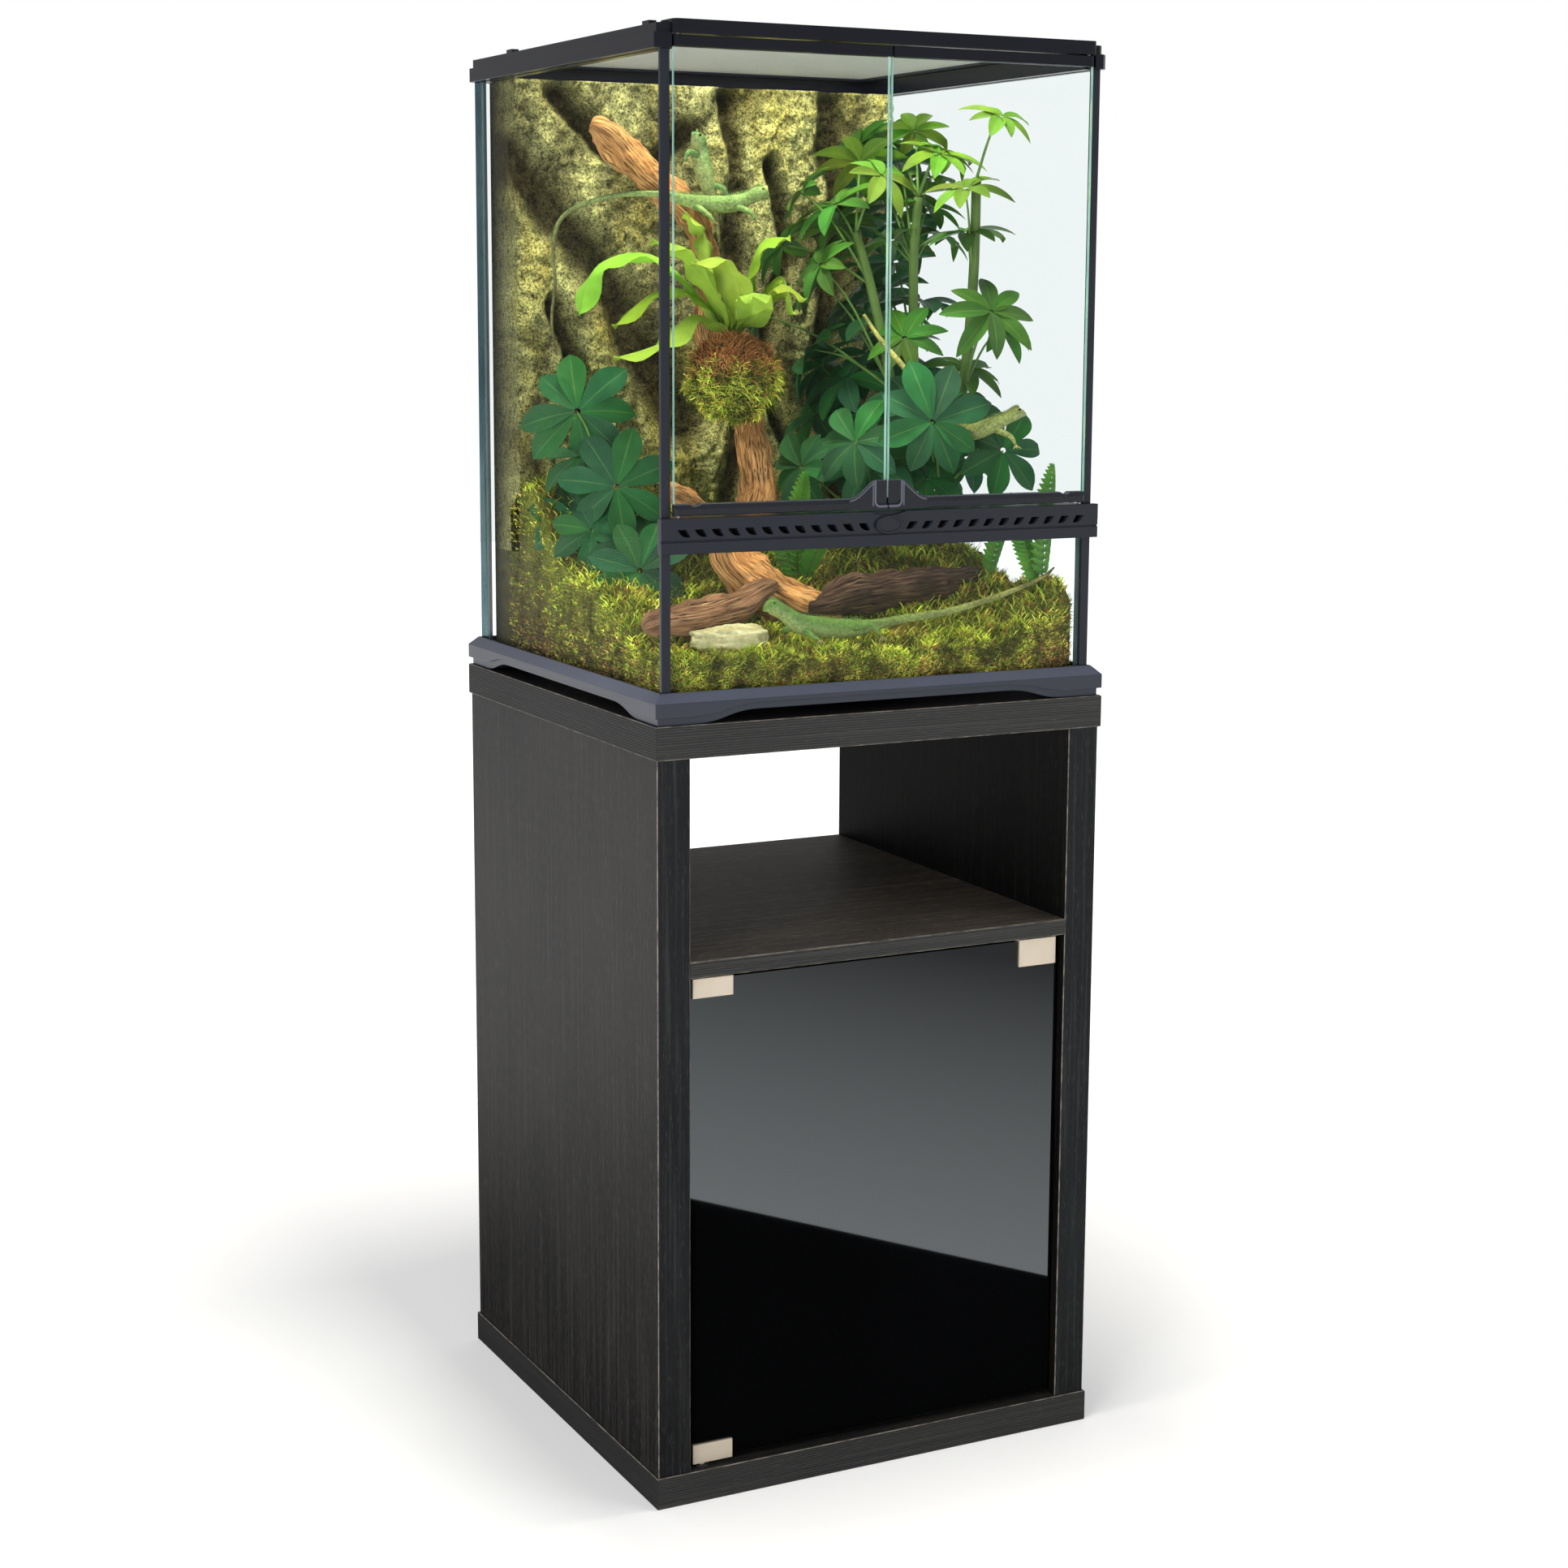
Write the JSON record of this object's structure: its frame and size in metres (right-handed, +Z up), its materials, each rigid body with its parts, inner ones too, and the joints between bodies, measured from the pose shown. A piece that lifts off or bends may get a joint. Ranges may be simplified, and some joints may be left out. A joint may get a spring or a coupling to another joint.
{
  "type": "terrarium on cabinet",
  "caption": "Square glass terrarium with front doors, vent bar and mesh lid, planted and rock-backed, on a matching black oak cabinet with an open shelf and a dark glass door.",
  "frame": {"origin": "middle of the square footprint, on the floor", "axes": "+Z up, the doors face -Y, +X to the right of someone facing the doors"},
  "size_m": [0.46, 0.46, 1.318],
  "materials": {
    "black_oak_board": "black-brown oak veneer, satin, fine grain",
    "beech_dowel": "raw beech",
    "steel_pin": "zinc plated",
    "nylon": "moulded nylon",
    "dark_glass": "dark mirror-like tempered glass",
    "satin_nickel": "satin champagne nickel",
    "grey_black_plastic": "satin blue-black moulded plastic",
    "clear_glass": "clear float glass, green edges",
    "black_silicone": "silicone bead",
    "door_pin_steel": "stainless",
    "mesh_steel": "woven stainless mesh",
    "rock_foam": "painted rock relief, matte",
    "moss": "dried moss over soil, matte",
    "driftwood": "weathered driftwood",
    "sandstone": "pale sandstone",
    "leaf": "leaf, satin",
    "lizard_skin": "scaly, satin"
  },
  "bodies": {
    "root": {"stand_bottom_board": "black_oak_board", "stand_top_board": "black_oak_board", "stand_left_side": "black_oak_board", "stand_right_side": "black_oak_board", "stand_shelf": "black_oak_board", "stand_back_panel": "black_oak_board", "stand_dowels": "beech_dowel", "shelf_pins": "steel_pin", "hinge_bush_upper": "nylon", "hinge_bush_lower": "nylon", "latch_housing": "nylon", "base_frame": "grey_black_plastic", "bottom_glass": "clear_glass", "left_glass": "clear_glass", "right_glass": "clear_glass", "back_glass": "clear_glass", "front_lower_glass": "clear_glass", "front_left_post": "grey_black_plastic", "front_right_post": "grey_black_plastic", "corner_seals": "black_silicone", "vent_bar": "grey_black_plastic", "vent_screen": "mesh_steel", "top_frame": "grey_black_plastic", "background_panel": "rock_foam", "substrate_bed": "moss", "main_branch": "driftwood", "side_branch": "driftwood", "light_log": "driftwood", "dark_log": "driftwood", "moss_ball": "moss", "flat_stone": "sandstone", "umbrella_plant_left": "leaf", "umbrella_plant_right": "leaf", "nest_fern": "leaf", "ferns": "leaf", "lizard_climbing": "lizard_skin", "lizard_on_branch": "lizard_skin", "lizard_in_leaves": "lizard_skin", "lizard_on_moss": "lizard_skin"},
    "cabinet_door": {"cabinet_door_glass": "dark_glass", "door_clip_upper": "satin_nickel", "door_clip_lower": "satin_nickel", "door_strike_plate": "satin_nickel", "clip_screws": "steel_pin"},
    "latch_plunger": {"latch_plunger": "nylon"},
    "left_door": {"left_door_glass": "clear_glass", "left_door_top_rail": "grey_black_plastic", "left_door_bottom_rail": "grey_black_plastic", "left_door_pins": "door_pin_steel"},
    "right_door": {"right_door_glass": "clear_glass", "right_door_top_rail": "grey_black_plastic", "right_door_bottom_rail": "grey_black_plastic", "right_door_pins": "door_pin_steel"},
    "lock_knob": {"lock_knob": "grey_black_plastic"},
    "lid": {"lid_frame": "grey_black_plastic", "lid_mesh": "mesh_steel"},
    "lid_clip_left_front": {"lid_clip_left_front": "grey_black_plastic"},
    "lid_clip_left_back": {"lid_clip_left_back": "grey_black_plastic"},
    "lid_clip_right_front": {"lid_clip_right_front": "grey_black_plastic"},
    "lid_clip_right_back": {"lid_clip_right_back": "grey_black_plastic"}
  },
  "joints": [
    {"name": "left_door_swing", "type": "hinge", "parent": "root", "child": "left_door", "pos_m": [-0.205, -0.222, 1.1], "axis": [0, 0, -1], "range_deg": [0, 100]},
    {"name": "right_door_swing", "type": "hinge", "parent": "root", "child": "right_door", "pos_m": [0.205, -0.222, 1.1], "axis": [0, 0, 1], "range_deg": [0, 100]},
    {"name": "lock_knob_turn", "type": "hinge", "parent": "root", "child": "lock_knob", "pos_m": [0, -0.227, 0.888], "axis": [0, -1, 0], "range_deg": [0, 90]},
    {"name": "lid_lift", "type": "slide", "parent": "root", "child": "lid", "axis": [0, 0, 1], "range_m": [0, 0.15]},
    {"name": "cabinet_door_swing", "type": "hinge", "parent": "root", "child": "cabinet_door", "pos_m": [-0.18, -0.2165, 0.26], "axis": [0, 0, -1], "range_deg": [0, 100]},
    {"name": "latch_press", "type": "slide", "parent": "root", "child": "latch_plunger", "axis": [0, 1, 0], "range_m": [0, 0.004], "stiffness_N_per_m": 400},
    {"name": "lid_clip_left_front_slide", "type": "slide", "parent": "root", "child": "lid_clip_left_front", "axis": [1, 0, 0], "range_m": [0, 0.006]},
    {"name": "lid_clip_left_back_slide", "type": "slide", "parent": "root", "child": "lid_clip_left_back", "axis": [1, 0, 0], "range_m": [0, 0.006]},
    {"name": "lid_clip_right_front_slide", "type": "slide", "parent": "root", "child": "lid_clip_right_front", "axis": [-1, 0, 0], "range_m": [0, 0.006]},
    {"name": "lid_clip_right_back_slide", "type": "slide", "parent": "root", "child": "lid_clip_right_back", "axis": [-1, 0, 0], "range_m": [0, 0.006]}
  ]
}
